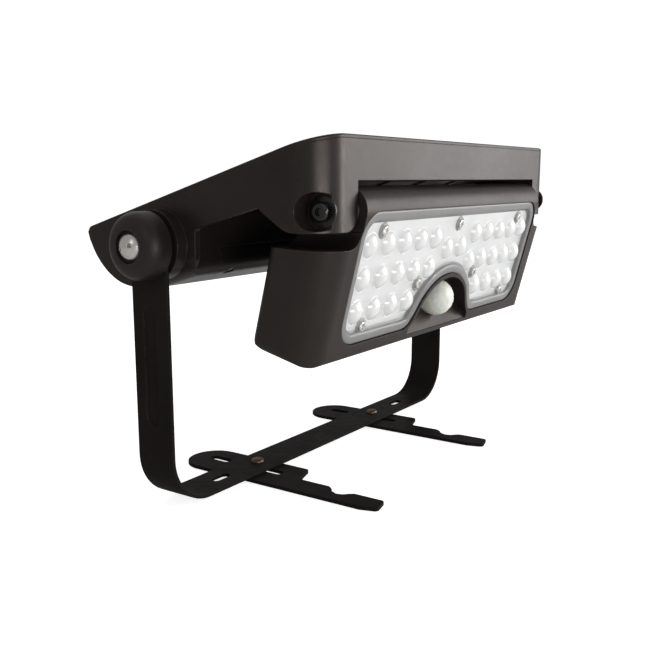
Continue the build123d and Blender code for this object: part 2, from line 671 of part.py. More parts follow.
def head_blank():
    """Solid outer form of the head with its hinge barrel."""
    main = rounded(poly([(HEAD_FACE, 0), (HEAD_FACE, HEAD_BOT), (HEAD_REAR, HEAD_BOT),
                         (HEAD_REAR, -17.0), (9.2, 6.9), (0, 6)]),
                   [(HEAD_FACE, HEAD_BOT, 2.6), (HEAD_REAR, HEAD_BOT, 11.0),
                    (HEAD_REAR, -17.0, 7.0)])
    main = main + Circle(BARREL_R)
    side = head_side()
    outline = sym_rect(HEAD_HALF, HEAD_BOT, 20, 5.0)
    head = yz(main, -BARREL_HALF, BARREL_HALF) + (
        yz(side, -HEAD_HALF, HEAD_HALF) & xz(outline, -40, 40) & shoulder_envelope()
        & (yz(side, -HEAD_HALF, -100) + yz(side, 100, HEAD_HALF) + yz(main, -101, 101)))
    # round the four upright edges
    for (y, r, inward) in ((HEAD_FACE, FRONT_EDGE_R, 1), (HEAD_REAR, REAR_EDGE_R, -1)):
        chip = box(HEAD_HALF - r, HEAD_HALF + 2, y - 2 * inward, y + r * inward, -100, 40) \
            - zcyl(r, -110, 50, HEAD_HALF - r, y + r * inward)
        head = head - chip - mirror_x(chip)

    def on_shoulder(edge):
        mid = edge @ 0.5
        height = mid.Z * math.cos(shoulder_rad) + mid.Y * math.sin(shoulder_rad)
        return abs(edge.center().X) > 125 and edge.length > 4 and abs(height - SHOULDER) < 0.6

    return try_fillet(head, lambda s: s.edges().filter_by(on_shoulder), 1.6)


def head_interior():
    half = HEAD_HALF - HEAD_WALL
    rear, bottom = HEAD_REAR - HEAD_WALL, HEAD_BOT + HEAD_WALL
    shoulder = SHOULDER - HEAD_WALL
    plan = sym_rect(half, INNER_FACE_Y, rear, 7.0, 4.0)
    section = rounded(poly([(INNER_FACE_Y, -5.5), (INNER_FACE_Y, bottom), (rear, bottom),
                            (rear, -19.5), (5.5, -5.5)]),
                      [(rear, bottom, 8.4), (rear, -19.5, 4.0)])
    outline = rect(-half, half, bottom, -5.5)
    below_shoulders = poly([(-HEAD_HALF, -150), (HEAD_HALF, -150), (HEAD_HALF, shoulder),
                            (107, shoulder), (107, 20), (-107, 20), (-107, shoulder),
                            (-HEAD_HALF, shoulder)])
    return xy(plan, -100, 10) & yz(section, -HEAD_HALF, HEAD_HALF) & xz(outline, -10, 30) \
        & (SLOPE * xz(below_shoulders, -70, 70))


def head_shell():
    head = head_blank()
    head = head - xz(window(), HEAD_FACE - 5, LEDGE_Y)
    head = head - xz(window(4.0), LEDGE_Y - 0.01, -3.9)
    # sensor pocket in the face, its floor sloping out to the lower lip
    pocket_section = poly([(-14, -30), (POCKET_FLOOR, -30), (POCKET_FLOOR, -61.0),
                           (-10.6, -71.5), (-14, -71.5)])
    pocket = xz(bell(-2.2, -71.5), -14, 4) & yz(pocket_section, -60, 60)
    backing_section = poly([(-6, -30), (POCKET_BACK, -30), (POCKET_BACK, -63.0),
                            (-6.0, -72.3)])
    backing = xz(bell(-0.4, -72.3), -6.0, POCKET_BACK) & yz(backing_section, -60, 60)
    head = head - (head_interior() - backing)
    head = head - pocket
    head = head - ycyl(PIR_R + 0.15, -8, 3, 0, PIR_Z)
    # ledge and opening for the back cover
    ledge = xz(sym_rect(HEAD_HALF - 2, HEAD_BOT + 2, -24), REAR_LEDGE - 1.8, REAR_LEDGE + 0.8)
    plan = sym_rect(HEAD_HALF, HEAD_FACE - 1, HEAD_REAR, 0, REAR_EDGE_R)
    plan = plan & sym_rect(HEAD_HALF, HEAD_FACE, 60, FRONT_EDGE_R)
    head = head + (ledge & yz(head_side(), -HEAD_HALF, HEAD_HALF) & xy(plan, -100, 40)
                   & shoulder_envelope())
    head = head - xz(cover_outline(0, COVER_R), REAR_LEDGE, 50) - xz(cover_outline(5, 3), 10, 40)
    for (x, z) in BACK_SCREWS:
        head = head + ycyl(3.6, 10.0, REAR_LEDGE, x, z)
        head = head - ycyl(PILOT_R, 9.0, REAR_LEDGE + 1, x, z)
    # webs that carry the middle bosses; they run into the bores, so drill again
    for x in (-40.0, 40.0):
        head = head + box(x - 1, x + 1, 10.0, REAR_LEDGE, -33.5, -17.0)
        head = head + box(x - 1, x + 1, 10.0, REAR_LEDGE, HEAD_BOT + 1.5, -60.0)
    head = drill_back_bosses(head)
    # hinge screw holes in the barrel
    for side in (-1, 1):
        head = head - xcyl(HINGE_SCREW_R, side * 94.0, side * 120.0)
    return largest(head)


write("head_shell", head_shell(), HEAD)

# ------------------------------------------------------------ back cover, seal, button
BUTTON_X, BUTTON_Z, BUTTON_R = 78.0, -45.0, 5.0
COVER_GAP = 0.3


def head_back_cover():
    cover = xz(cover_outline(COVER_GAP, COVER_R), REAR_LEDGE + 0.8, HEAD_REAR)
    cover = try_fillet(cover, lambda s: s.faces().sort_by(Axis.Y)[-1].edges(), 0.5)
    cover = cover - ycyl(BUTTON_R + 0.12, 10, 40, BUTTON_X, BUTTON_Z)
    for (x, z) in BACK_SCREWS:
        cover = cover - ycyl(1.7, 10, 40, x, z) - ycyl(3.2, REAR_LEDGE + 1.7, 40, x, z)
    return cover


def head_seal():
    seal = xz(cover_outline(COVER_GAP, COVER_R), REAR_LEDGE + 0.05, REAR_LEDGE + 0.77) \
        - xz(cover_outline(4.5, 2), 10, 30)
    for (x, z) in BACK_SCREWS:
        seal = seal - ycyl(1.8, 10, 30, x, z)
    return largest(seal)


def power_button():
    button = ycyl(BUTTON_R, REAR_LEDGE - 1.0, HEAD_REAR + 0.9, BUTTON_X, BUTTON_Z)
    button = try_fillet(button, lambda s: s.edges().group_by(Axis.Y)[-1], 0.7)
    return button + ycyl(BUTTON_R + 1.4, REAR_LEDGE - 1.2, REAR_LEDGE + 0.4,
                         BUTTON_X, BUTTON_Z)


write("head_back_cover", head_back_cover(), HEAD)
write("head_seal", head_seal(), HEAD)
write("head_cover_screws",
      [Pos(x, REAR_LEDGE + 1.72, z) * Rot(90, 0, 0) * pan_screw(2.8, 1.6, 10.5)
       for (x, z) in BACK_SCREWS], HEAD)
write("power_button", power_button(), HEAD)

# ------------------------------------------------------------ lens plate and optics
LED_PITCH = 17.55
LED_ROWS = (-15.9, -33.4, -50.9)        # z of each row
# LEDs (x, z): five a side in each row, the lowest row skipping the innermost for the arch
LEDS = [(side * (1.5 + col) * LED_PITCH, z) for row, z in enumerate(LED_ROWS)
        for col in range(5) if (row, col) != (2, 0) for side in (1, -1)]
LEDS += [(LED_PITCH / 2, -23.3), (-LED_PITCH / 2, -23.3)]
# lens screws (x, z)
LENS_SCREWS = [(-86.5, -8.6), (86.5, -8.6), (0.0, -8.9), (-36.0, -41.6), (36.0, -41.6),
               (-88.0, -59.2), (88.0, -59.2)]
# y of the rim's front, the plate's front and the plate's back
LENS_RIM, LENS_FRONT, LENS_BACK = -10.9, -8.6, -7.0
DOME_R, DOME_H = 6.6, 3.4


def lens_plate():
    lens = xz(window(0.25), LENS_RIM, LENS_BACK)
    lens = try_fillet(lens, lambda s: s.faces().sort_by(Axis.Y)[0].edges(), 0.8)
    lens = lens - xz(window(5.0), LENS_RIM - 3, LENS_FRONT)
    sphere_r = (DOME_R ** 2 + DOME_H ** 2) / (2 * DOME_H)
    for (x, z) in LEDS:
        ball = Pos(x, LENS_FRONT - DOME_H + sphere_r, z) * Sphere(sphere_r)
        lens = lens + (ball & ycyl(DOME_R, LENS_FRONT - 6, LENS_FRONT + 0.3, x, z))
    for (x, z) in LEDS:
        lens = lens - (Pos(x, LENS_BACK, z) * Sphere(2.4))
    for (x, z) in LENS_SCREWS:
        lens = lens + ycyl(3.9, LENS_FRONT - 0.5, LENS_FRONT + 0.2, x, z)
        lens = lens - ycyl(1.55, -20, 0, x, z)
    return lens


def window_plate(y0, y1, hole_r):
    """Plate following the window, clear of the barrel screws, with lens screw holes."""
    plate = xz(window(5.2) & rect(-120, 120, -80, -6.2), y0, y1)
    for (x, z) in LENS_SCREWS:
        plate = plate - ycyl(hole_r, -10, 5, x, z)
    return plate


write("lens_plate", lens_plate(), HEAD)
write("lens_gasket", xz(window(0.4), LENS_BACK + 0.03, LEDGE_Y - 0.03)
      - xz(window(3.4), -20, 0), HEAD)
write("lens_screws",
      [Pos(x, LENS_FRONT - 0.52, z) * Rot(-90, 0, 0) * pan_screw(2.7, 1.3, 8.4, 0.8)
       for (x, z) in LENS_SCREWS], HEAD)
write("led_board", window_plate(-3.85, -2.25, 1.6), HEAD)
write("heat_spreader", window_plate(-2.2, -0.2, 1.44), HEAD)
write("led_chips", [box(x - 1.5, x + 1.5, -4.6, -3.9, z - 1.5, z + 1.5) for (x, z) in LEDS],
      HEAD)

# ------------------------------------------------------------ motion sensor
DOME_WALL = 0.9
SENSOR_BOARD_Y0, SENSOR_BOARD_Y1 = 8.0, 9.6
SENSOR_PART_Y = SENSOR_BOARD_Y1 + 0.05


def pir_dome():
    """Hollow dome with a flange behind the pocket; profile (axial, radius), front at -x."""
    cos45 = math.cos(math.radians(45))
    inner_r, flange_r = PIR_R - DOME_WALL, PIR_R + 1.6
    flange_0 = POCKET_BACK - PIR_Y + 0.05
    flange_1 = POCKET_BACK - PIR_Y + 1.2
    profile = make_face([
        ThreePointArc((-PIR_R, 0), (-PIR_R * cos45, PIR_R * cos45), (0, PIR_R)),
        Line((0, PIR_R), (flange_0, PIR_R)),
        Line((flange_0, PIR_R), (flange_0, flange_r)),
        Line((flange_0, flange_r), (flange_1, flange_r)),
        Line((flange_1, flange_r), (flange_1, inner_r)),
        Line((flange_1, inner_r), (0, inner_r)),
        ThreePointArc((0, inner_r), (-inner_r * cos45, inner_r * cos45), (-inner_r, 0)),
        Line((-inner_r, 0), (-PIR_R, 0))])
    return Pos(0, PIR_Y, PIR_Z) * Rot(0, 0, 90) * revolve(profile, Axis.X, 360)


write("pir_dome", pir_dome(), HEAD)
write("pir_sensor", ycyl(4.6, 3.8, 7.9, 0, PIR_Z) + ycyl(4.9, 7.2, 7.9, 0, PIR_Z)
      - box(-1.9, 1.9, 2, 4.1, PIR_Z - 1.5, PIR_Z + 1.5), HEAD)
write("sensor_board", box(-30, 92, SENSOR_BOARD_Y0, SENSOR_BOARD_Y1, -56.0, -34.0)
      + box(-14, 14, SENSOR_BOARD_Y0, SENSOR_BOARD_Y1, -66.0, -40.0)
      - ycyl(4.4, 5, 12, 40.0, -60.0), HEAD)
write("sensor_components", [
    box(-24, -16, SENSOR_PART_Y, 11.6, -50, -40),
    box(30, 42, SENSOR_PART_Y, 12.4, -52, -42),
    box(54, 62, SENSOR_PART_Y, 12, -48, -40)], HEAD)
write("tact_switch",
      box(BUTTON_X - 3, BUTTON_X + 3, SENSOR_PART_Y, 13.6, BUTTON_Z - 3, BUTTON_Z + 3)
      + ycyl(1.7, 13.5, REAR_LEDGE - 2.5, BUTTON_X, BUTTON_Z), HEAD)

# ------------------------------------------------------------ lamp hinge hardware
HINGE_HEAD_X = HINGE_RECESS_X + 0.9


def hinge_screw():
    screw = xcyl(4.6, HINGE_HEAD_X, 134.2)
    screw = try_fillet(screw, lambda s: s.edges().filter_by(lambda e: e.center().X > 134), 1.2)
    screw = screw + xcyl(HINGE_SCREW_R - 0.01, 95.0, HINGE_HEAD_X + 0.1)
    return screw - (Plane.YZ.offset(132.6) * extrude(RegularPolygon(2.3, 6), 5))


hinge_hole_r = HINGE_SCREW_R + 0.08
hinge_washer = xcyl(7.4, HINGE_RECESS_X + 0.05, HINGE_HEAD_X - 0.05) \
    - xcyl(hinge_hole_r, 120, 140)
friction_disc = xcyl(6.9, BARREL_HALF + 0.07, EAR_IN - 0.07) - xcyl(hinge_hole_r, 100, 120)
write("hinge_screws", pair(hinge_screw()), HEAD)
write("hinge_washers", pair(hinge_washer), HEAD)
write("hinge_friction_discs", pair(friction_disc), HEAD)
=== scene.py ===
"""A solar-powered lamp on a U-shaped bracket: a tilted solar panel above a battery housing,
and a hinged lamp head with LED lenses and a motion sensor.

World frame in metres: +Z is up, X runs across the width and the lamp faces -Y.
Lamp coordinates are in mm from the hinge: x across, y to the rear, z up the lamp's face.
"""
import math

import bmesh
import bpy
from mathutils import Matrix, Vector


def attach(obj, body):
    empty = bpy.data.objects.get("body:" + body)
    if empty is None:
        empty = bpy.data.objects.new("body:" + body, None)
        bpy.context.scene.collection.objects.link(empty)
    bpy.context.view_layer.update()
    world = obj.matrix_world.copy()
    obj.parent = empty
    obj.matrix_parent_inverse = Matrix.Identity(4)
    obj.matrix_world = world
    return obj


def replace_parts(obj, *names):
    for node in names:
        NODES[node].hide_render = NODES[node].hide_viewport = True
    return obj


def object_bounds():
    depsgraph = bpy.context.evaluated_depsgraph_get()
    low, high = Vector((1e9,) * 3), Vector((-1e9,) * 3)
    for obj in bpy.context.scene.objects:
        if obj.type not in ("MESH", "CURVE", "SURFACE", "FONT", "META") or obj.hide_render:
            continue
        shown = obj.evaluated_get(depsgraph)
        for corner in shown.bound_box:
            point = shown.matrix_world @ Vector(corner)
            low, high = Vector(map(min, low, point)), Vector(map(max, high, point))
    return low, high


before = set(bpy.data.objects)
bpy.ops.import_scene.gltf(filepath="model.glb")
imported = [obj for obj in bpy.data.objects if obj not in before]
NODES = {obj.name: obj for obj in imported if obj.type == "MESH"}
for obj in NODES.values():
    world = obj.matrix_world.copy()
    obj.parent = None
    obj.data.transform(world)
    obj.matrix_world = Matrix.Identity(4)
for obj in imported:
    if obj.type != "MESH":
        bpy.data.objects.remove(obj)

CAD_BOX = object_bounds()
MM = 0.001
PANEL_TILT = math.radians(16.68)
PANEL_PIVOT_Z = 0.1387
HEAD_TILT = math.radians(14.24)
HINGE = Vector((0.0, -0.0925, 0.1566))
HEAD = Matrix.Translation(HINGE) @ Matrix.Rotation(HEAD_TILT, 4, "X")


def lamp_point(x, y, z):
    """Lamp coordinates in mm to the world frame in metres."""
    return HEAD @ Vector((x * MM, y * MM, z * MM))


# ---------------------------------------------------------------- node helpers
class Mat:
    """A new material, with short calls for its nodes. Texture scales are per metre."""

    INPUTS = {"base": "Base Color", "rough": "Roughness", "metal": "Metallic",
              "spec": "Specular IOR Level", "tint": "Specular Tint", "normal": "Normal",
              "coat": "Coat Weight", "coat_rough": "Coat Roughness",
              "sss": "Subsurface Weight", "sss_scale": "Subsurface Scale"}

    def __init__(self, name):
        self.material = bpy.data.materials.new(name)
        self.material.use_nodes = True
        self.tree = self.material.node_tree
        self.tree.nodes.clear()
        self.out = self.node("OutputMaterial")
        self.coord = self.node("TexCoord").outputs["Object"]

    def node(self, kind, inputs=None, **settings):
        node = self.tree.nodes.new("ShaderNode" + kind)
        for key, value in settings.items():
            setattr(node, key, value)
        for key, value in (inputs or {}).items():
            self.put(node.inputs[key], value)
        return node

    def put(self, socket, value):
        """Link a socket, or set a value; a colour may leave out its alpha."""
        if isinstance(value, bpy.types.NodeSocket):
            self.tree.links.new(value, socket)
        elif isinstance(value, (tuple, list)) and len(value) == 3 and socket.type == "RGBA":
            socket.default_value = (*value, 1.0)
        else:
            socket.default_value = value

    def math(self, operation, first, second, clamp=False):
        inputs = {0: first, 1: second}
        return self.node("Math", inputs, operation=operation, use_clamp=clamp).outputs[0]

    def times(self, value, by, clamp=False):
        return self.math("MULTIPLY", value, by, clamp)

    def weighted(self, first, second, share):
        """Weighted sum, with share as the weight of the first."""
        return self.math("ADD", self.times(first, share), self.times(second, 1 - share))

    def noise(self, scale, detail=3.0, rough=0.55, vector=None, distort=0.0):
        return self.node("TexNoise", {"Scale": scale, "Detail": detail, "Roughness": rough,
                                      "Distortion": distort,
                                      "Vector": vector or self.coord}).outputs["Fac"]

    def voronoi(self, scale, feature="F1"):
        inputs = {"Scale": scale, "Vector": self.coord}
        return self.node("TexVoronoi", inputs, feature=feature).outputs

    def remap(self, value, span, to=(0.0, 1.0)):
        inputs = {"Value": value, "From Min": span[0], "From Max": span[1],
                  "To Min": to[0], "To Max": to[1]}
        return self.node("MapRange", inputs, clamp=True).outputs["Result"]

    def mix(self, factor, low, high):
        return self.node("Mix", {0: factor, 6: low, 7: high}, data_type="RGBA",
                         blend_type="MIX", clamp_factor=True).outputs[2]

    def bevel(self, radius):
        return self.node("Bevel", {"Radius": radius}, samples=4).outputs["Normal"]

    def edge(self, radius, span=(0.02, 0.30)):
        """1 along convex and concave edges, 0 on open faces."""
        face_normal = self.node("NewGeometry").outputs["Normal"]
        agreement = self.node("VectorMath", {0: self.bevel(radius), 1: face_normal},
                              operation="DOT_PRODUCT").outputs["Value"]
        return self.remap(self.math("SUBTRACT", 1.0, agreement), span)

    def bump(self, height, strength, distance, bevel=None):
        """Bumped normal, over edges rounded to the bevel radius where one is given."""
        inputs = {"Height": height, "Strength": strength, "Distance": distance}
        if bevel is not None:
            inputs["Normal"] = self.bevel(bevel)
        return self.node("Bump", inputs).outputs["Normal"]

    def bsdf(self, kind, **inputs):
        return self.node("Bsdf" + kind, inputs).outputs["BSDF"]

    def principled(self, **inputs):
        return self.bsdf("Principled", **{self.INPUTS[k]: v for k, v in inputs.items()})

    def mix_shaders(self, factor, first, second):
        return self.node("MixShader", {0: factor, 1: first, 2: second}).outputs[0]

    def done(self, shader):
        self.put(self.out.inputs["Surface"], shader)
        return self.material

    def surface(self, **inputs):
        """Finish the material with one principled shader."""
        return self.done(self.principled(**inputs))


def paint(names, material):
    for name in names:
        piece = NODES[name]
        if not piece.data.materials:
            piece.data.materials.append(material)
        for slot in piece.material_slots:
            slot.material = material


# ---------------------------------------------------------------- material families
def moulded(name, dark, light, rough, grain=2600.0, strength=0.35, edge_col=None,
            edge_amt=0.35, spec=0.5, coat=0.0, tint=(1.0, 1.0, 1.0)):
    """Moulded plastic: fine grain, slow sheen variation, softly polished edges."""
    edge_radius = 0.0006
    mat = Mat(name)
    slow = mat.noise(scale=18.0, detail=2.0)
    fine = mat.noise(scale=grain, detail=2.0, rough=0.7)
    pits = mat.voronoi(scale=grain * 0.55)["Distance"]
    scuff = mat.noise(scale=240.0, detail=5.0, rough=0.65, distort=0.6)
    col = mat.mix(mat.remap(slow, span=(0.3, 0.7)), dark, light)
    col = mat.mix(mat.remap(fine, span=(0.35, 0.75), to=(0.0, 0.35)), col, light)
    edge = mat.edge(edge_radius * 1.6)
    if edge_col is not None:
        col = mat.mix(mat.times(edge, edge_amt), col, edge_col)
    sheen = mat.remap(mat.weighted(slow, scuff, share=0.5), span=(0.35, 0.65), to=rough)
    sheen = mat.math("SUBTRACT", sheen, mat.times(edge, by=0.05), clamp=True)
    normal = mat.bump(mat.weighted(fine, pits, share=0.6), strength=strength,
                      distance=0.00005, bevel=edge_radius)
    return mat.surface(base=col, rough=sheen, spec=spec, normal=normal, coat=coat,
                       coat_rough=0.25, sss_scale=0.002, tint=tint)


def coated(name, dark, light, bare, rough):
    """Powder coat over steel: orange peel, dust, thin rubbed edges."""
    mat = Mat(name)
    slow = mat.noise(scale=22.0)
    peel = mat.noise(scale=900.0, detail=2.0, rough=0.5)
    fine = mat.noise(scale=4200.0, detail=2.0, rough=0.6)
    patch = mat.noise(scale=160.0, detail=4.0, rough=0.6)
    edge = mat.edge(radius=0.0007, span=(0.03, 0.35))
    rubbed = mat.times(edge, mat.remap(patch, span=(0.42, 0.62), to=(0.25, 1.0)), clamp=True)
    col = mat.mix(mat.remap(slow, span=(0.3, 0.7)), dark, light)
    col = mat.mix(mat.remap(fine, span=(0.62, 0.72), to=(0.0, 0.5)), col, light)
    col = mat.mix(mat.times(rubbed, by=0.55), col, bare)
    normal = mat.bump(mat.weighted(peel, fine, share=0.8), strength=0.35, distance=0.00012,
                      bevel=0.0006)
    return mat.surface(base=col, rough=mat.remap(patch, span=(0.35, 0.65), to=rough),
                       spec=0.02, normal=normal, tint=(1.0, 0.90, 0.85),
                       metal=mat.times(rubbed, by=0.3))


def metal(name, dark, light, rough, edge_col=None, grain=1500.0, brushed=None):
    """Turned metal, or metal brushed with streaks of the given scale along each axis."""
    mat = Mat(name)
    slow = mat.noise(scale=60.0)
    if brushed:
        mapping = mat.node("Mapping", {"Scale": brushed, "Vector": mat.coord},
                           vector_type="POINT")
        streak = mat.noise(scale=1.0, detail=2.0, rough=0.6, vector=mapping.outputs["Vector"])
    else:
        streak = mat.noise(scale=grain, rough=0.6)
    col = mat.mix(mat.remap(slow, span=(0.35, 0.65)), dark, light)
    if edge_col is not None:
        col = mat.mix(mat.times(mat.edge(radius=0.0004), by=0.7), col, edge_col)
    sheen = mat.remap(mat.weighted(streak, slow, share=0.6), span=(0.35, 0.65), to=rough)
    normal = mat.bump(streak, strength=0.22, distance=0.00004, bevel=0.00025)
    return mat.surface(base=col, metal=1.0, rough=sheen, normal=normal)


def circuit_board(name, dark, light, track):
    """Solder mask over faint tracks, with a weave under the gloss."""
    mat = Mat(name)
    cell = mat.voronoi(scale=140.0, feature="DISTANCE_TO_EDGE")["Distance"]
    tracks = mat.remap(cell, span=(0.05, 0.07), to=(1.0, 0.0))
    weave = mat.noise(scale=1900.0, detail=2.0)
    col = mat.mix(mat.noise(scale=30.0, detail=2.0), dark, light)
    col = mat.mix(mat.times(tracks, by=0.6), col, track)
    col = mat.mix(mat.remap(weave, span=(0.4, 0.7), to=(0.0, 0.12)), col, light)
    normal = mat.bump(mat.math("ADD", tracks, mat.times(weave, by=0.25)),
                      strength=0.4, distance=0.00005, bevel=0.0002)
    return mat.surface(base=col, rough=mat.remap(weave, span=(0.3, 0.7), to=(0.22, 0.36)),
                       normal=normal, coat=0.2)


def see_through(mat, shader, clear):
    """The shader to the camera, clear to the light that has to reach the LED board."""
    rays = mat.node("LightPath").outputs
    body = mat.mix_shaders(clear, shader, mat.bsdf("Transparent", Color=(0.97, 0.975, 0.98)))
    passing = mat.math("MAXIMUM", rays["Is Shadow Ray"], rays["Is Diffuse Ray"])
    return mat.mix_shaders(mat.times(passing, by=0.85), body,
                           mat.bsdf("Transparent", Color=(0.93, 0.935, 0.94)))


def frosted(name, colour, rough, haze, clear):
    """Etched clear plastic; haze is the bump strength, clear the see-through share."""
    mat = Mat(name)
    etch = mat.noise(scale=2600.0, detail=2.0, rough=0.6)
    slow = mat.noise(scale=45.0)
    col = mat.mix(mat.remap(slow, span=(0.35, 0.65)), colour, tuple(c * 0.93 for c in colour))
    normal = mat.bump(etch, strength=haze, distance=0.00005, bevel=0.0005)
    sheen = mat.remap(etch, span=(0.3, 0.7), to=(rough - 0.06, rough + 0.06))
    shader = mat.principled(base=col, rough=sheen, normal=normal, coat=0.5, coat_rough=0.12,
                            spec=0.5)
    return mat.done(see_through(mat, shader, clear))


# ---------------------------------------------------------------- single materials
def solar_silicon():
    """Silicon crystals with fine fingers along the depth and silver busbars across."""
    finger_half_pitch = 0.0009
    bus_half_pitch = 0.0068
    bus_offset = 0.004
    mat = Mat("silicon_cells")
    place = mat.node("SeparateXYZ", {"Vector": mat.coord}).outputs
    height = mat.math("SUBTRACT", place["Z"], PANEL_PIVOT_Z)
    depth = mat.math("SUBTRACT", mat.times(place["Y"], math.cos(PANEL_TILT)),
                     mat.times(height, math.sin(PANEL_TILT)))
    from_finger = mat.math("PINGPONG", mat.times(place["X"], by=1.0), finger_half_pitch)
    finger = mat.remap(from_finger, span=(0.00006, 0.00013), to=(1.0, 0.0))
    from_bus = mat.math("PINGPONG", mat.math("SUBTRACT", depth, bus_offset), bus_half_pitch)
    bus = mat.remap(from_bus, span=(0.00055, 0.00065), to=(1.0, 0.0))
    crystal = mat.voronoi(scale=190.0)["Color"]
    shade = mat.node("SeparateColor", {"Color": crystal}).outputs["Red"]
    col = mat.mix(shade, low=(0.010, 0.018, 0.062), high=(0.022, 0.040, 0.125))
    col = mat.mix(mat.times(finger, by=0.55), col, high=(0.16, 0.18, 0.24))
    col = mat.mix(mat.times(bus, by=0.9), col, high=(0.62, 0.63, 0.65))
    sheen = mat.mix(bus, low=(0.32, 0.32, 0.32), high=(0.42, 0.42, 0.42))
    normal = mat.bump(mat.math("ADD", bus, finger), strength=0.5, distance=0.00005)
    return mat.surface(base=col, rough=sheen, normal=normal, metal=mat.times(bus, by=0.8),
                       spec=0.6, coat=0.3)


def cover_glass():
    """Clear sheet with a faint rolled texture and a trace of dust."""
    mat = Mat("cover_glass")
    rolled = mat.noise(scale=700.0, detail=2.0, rough=0.5)
    dust = mat.remap(mat.noise(scale=70.0, detail=5.0, rough=0.7), span=(0.5, 0.8),
                     to=(0.0, 0.02))
    normal = mat.bump(rolled, strength=0.05, distance=0.00003, bevel=0.0004)
    fresnel = mat.node("Fresnel", {"IOR": 1.40, "Normal": normal}).outputs["Fac"]
    gloss = mat.bsdf("Glossy", Color=(0.95, 0.97, 1.0), Normal=normal,
                     Roughness=mat.remap(rolled, span=(0.3, 0.7), to=(0.05, 0.12)))
    clear = mat.bsdf("Transparent", Color=(0.93, 0.96, 0.95))
    dusty = mat.mix_shaders(dust, clear, mat.bsdf("Diffuse", Color=(0.6, 0.62, 0.66)))
    return mat.done(mat.mix_shaders(mat.times(fresnel, by=0.55), dusty, gloss))


def dome_plastic():
    """Slightly milky clear plastic."""
    mat = Mat("lens_domes")
    ripple = mat.noise(scale=800.0, detail=2.0, rough=0.4)
    normal = mat.bump(ripple, strength=0.06, distance=0.00004)
    glass = mat.bsdf("Glass", Color=(0.97, 0.98, 1.0), Roughness=0.03, IOR=1.49, Normal=normal)
    col = mat.mix(mat.noise(scale=60.0, detail=2.0),
                  low=(0.86, 0.86, 0.84), high=(0.93, 0.93, 0.91))
    milk = mat.principled(base=col, rough=0.14, coat=1.0, coat_rough=0.04, normal=normal)
    glass_share = 0.26
    return mat.done(see_through(mat, mat.mix_shaders(glass_share, milk, glass), clear=0.0))


def cup_reflector():
    mat = Mat("reflector_cups")
    normal = mat.bump(mat.noise(scale=1500.0, detail=2.0), strength=0.12, distance=0.00003)
    col = mat.mix(mat.noise(scale=80.0), low=(0.84, 0.85, 0.87), high=(0.92, 0.93, 0.94))
    return mat.surface(base=col, rough=0.14, normal=normal, metal=0.25, spec=0.8)


def phosphor():
    mat = Mat("phosphor")
    grit = mat.noise(scale=4000.0, detail=2.0)
    return mat.surface(base=mat.mix(grit, low=(0.86, 0.62, 0.12), high=(0.95, 0.76, 0.25)),
                       rough=0.4, normal=mat.bump(grit, strength=0.3, distance=0.00003),
                       sss=0.2, sss_scale=0.001)


def sensor_milk():
    """Milky polyethylene with fine specks."""
    mat = Mat("sensor_window")
    specks = mat.noise(scale=1700.0, rough=0.7)
    slow = mat.noise(scale=90.0, detail=2.0)
    col = mat.mix(mat.remap(slow, span=(0.3, 0.7)),
                  low=(0.80, 0.765, 0.70), high=(0.87, 0.835, 0.775))
    col = mat.mix(mat.remap(specks, span=(0.5, 0.72), to=(0.0, 0.45)), col,
                  high=(0.55, 0.51, 0.43))
    return mat.surface(base=col, rough=mat.remap(specks, span=(0.3, 0.7), to=(0.3, 0.45)),
                       normal=mat.bump(specks, strength=0.25, distance=0.00006),
                       sss=0.35, sss_scale=0.003, spec=0.5)


def floor_paper():
    """Matt white paper that also glows, to the camera only."""
    mat = Mat("floor_paper")
    col = mat.mix(mat.noise(scale=3.0), low=(0.80, 0.80, 0.80), high=(0.83, 0.83, 0.83))
    paper = mat.principled(base=col, rough=0.9, spec=0.0,
                           normal=mat.bump(mat.noise(scale=400.0), strength=0.05,
                                           distance=0.0002))
    glow = mat.node("Emission", {"Color": (1.0, 1.0, 1.0), "Strength": 0.82}).outputs[0]
    glowing = mat.node("AddShader", {0: paper, 1: glow}).outputs[0]
    seen = mat.node("LightPath").outputs["Is Camera Ray"]
    return mat.done(mat.mix_shaders(seen, paper, glowing))


# ---------------------------------------------------------------- painting the CAD pieces
WARM = (1.0, 0.87, 0.80)
paint(["housing_shell", "panel_bezel", "battery_cover"],
      moulded("plastic_housing", dark=(0.0125, 0.0098, 0.0088), light=(0.0185, 0.0150, 0.0137),
              rough=(0.27, 0.38), edge_col=(0.05, 0.042, 0.040), edge_amt=0.30, spec=0.34,
              tint=WARM))
paint(["head_shell", "head_back_cover"],
      moulded("plastic_lamp", dark=(0.0150, 0.0122, 0.0111), light=(0.0222, 0.0182, 0.0167),
              rough=(0.33, 0.45), edge_col=(0.055, 0.046, 0.043), spec=0.33, grain=2200.0,
              strength=0.45, tint=WARM))
paint(["pivot_caps"],
      moulded("plastic_caps", dark=(0.011, 0.0088, 0.0090), light=(0.017, 0.0138, 0.0142),
              rough=(0.40, 0.50), edge_col=(0.06, 0.048, 0.055), edge_amt=0.5, spec=0.36,
              tint=WARM))
paint(["battery_cradle", "board_standoffs", "pivot_washers", "hinge_friction_discs"],
      moulded("plastic_inner", dark=(0.045, 0.045, 0.048), light=(0.065, 0.065, 0.068),
              rough=(0.45, 0.58), grain=1500.0))
paint(["u_bracket", "foot_left", "foot_right"],
      coated("bracket_coat", dark=(0.0135, 0.0112, 0.0105), light=(0.0195, 0.0165, 0.0156),
             bare=(0.105, 0.088, 0.084), rough=(0.34, 0.46)))
paint(["foot_rivets"],
      metal("rivet_bronze", dark=(0.12, 0.088, 0.062), light=(0.19, 0.14, 0.10),
            rough=(0.40, 0.54), edge_col=(0.30, 0.24, 0.18)))
